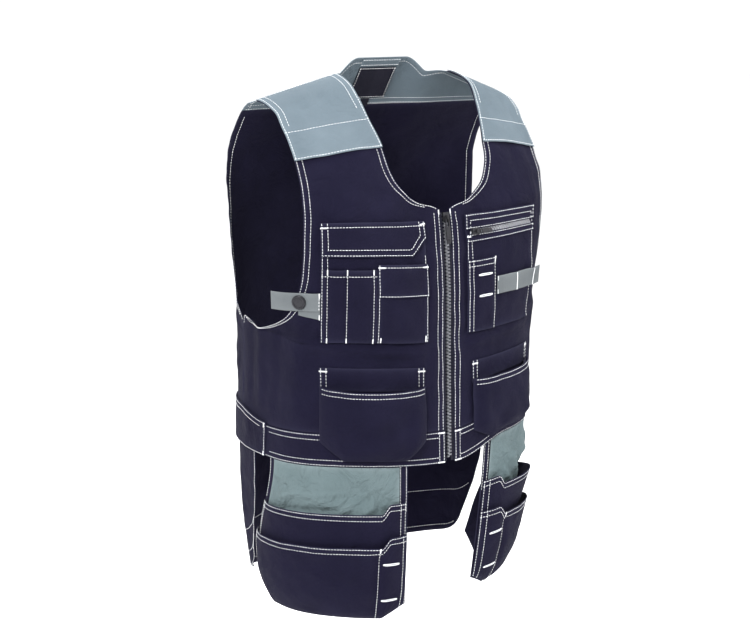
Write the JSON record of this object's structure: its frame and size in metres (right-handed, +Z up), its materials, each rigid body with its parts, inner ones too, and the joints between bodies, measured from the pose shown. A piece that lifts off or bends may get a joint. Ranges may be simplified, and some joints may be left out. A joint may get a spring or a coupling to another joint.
{
  "type": "utility work vest",
  "caption": "Sleeveless twill work vest with grey shoulders, front zip, chest and bellows pockets, hollow holster pockets hanging below the waistband and a back tail.",
  "frame": {"origin": "middle of the line between the two neck points of the shoulder seams, where the wearer's shoulders carry the vest", "axes": "+Z up, front towards -Y, wearer's left towards +X"},
  "size_m": [0.4378, 0.3965, 0.7665],
  "materials": {
    "navy_twill": "matte twill",
    "grey_twill": "matte twill",
    "lining": "matte",
    "webbing": "ribbed elastic",
    "dark_tape": "matte",
    "zip_metal": "gunmetal",
    "zip_dark": "semi-gloss black"
  },
  "bodies": {
    "vest": {"front_right": "navy_twill", "front_left": "navy_twill", "shoulder_patch_right": "grey_twill", "shoulder_patch_left": "grey_twill", "back_yoke": "grey_twill", "back_panel": "navy_twill", "waistband_front_right": "navy_twill", "waistband_front_left": "navy_twill", "waistband_back": "navy_twill", "back_tail": "navy_twill", "zip_tape_right": "dark_tape", "zip_tape_left": "dark_tape", "zip_teeth": "zip_metal", "zip_slider": "zip_dark", "chest_pocket_right": "navy_twill", "chest_flap_right": "navy_twill", "pen_pocket_right": "navy_twill", "phone_pocket_right": "navy_twill", "phone_flap_right": "navy_twill", "chest_pocket_left": "navy_twill", "pen_pocket_left": "navy_twill", "chest_zip_welt_upper": "navy_twill", "chest_zip_welt_lower": "navy_twill", "chest_zip_teeth": "zip_metal", "chest_zip_slider": "zip_dark", "elastic_tail_right": "webbing", "elastic_tab_right": "webbing", "elastic_tab_left": "webbing", "snap_button_right": "zip_metal", "lower_pocket_strip_right": "navy_twill", "lower_pocket_right": "navy_twill", "lower_pocket_strip_left": "navy_twill", "lower_pocket_left": "navy_twill", "holster_back_right": "navy_twill", "holster_back_left": "navy_twill", "holster_lining_right": "lining", "holster_lining_left": "lining", "holster_pocket_upper_right": "navy_twill", "holster_pocket_upper_left": "navy_twill", "holster_pocket_lower_right": "navy_twill", "holster_pocket_lower_left": "navy_twill", "hanger_strip": "grey_twill", "label_patch": "dark_tape", "size_tab": "dark_tape"},
    "zip_puller": {"zip_puller": "zip_dark"},
    "chest_zip_puller": {"chest_zip_puller": "zip_dark"}
  },
  "joints": [
    {"name": "zip_puller_hinge", "type": "hinge", "parent": "vest", "child": "zip_puller", "pos_m": [0, -0.13112, -0.18881], "axis": [-1, 0, 0], "range_deg": [0, 150]},
    {"name": "chest_zip_puller_hinge", "type": "hinge", "parent": "vest", "child": "chest_zip_puller", "pos_m": [0.04634, -0.13849, -0.21035], "axis": [-0.0001, -0.1263, -0.992], "range_deg": [0, 150]}
  ]
}
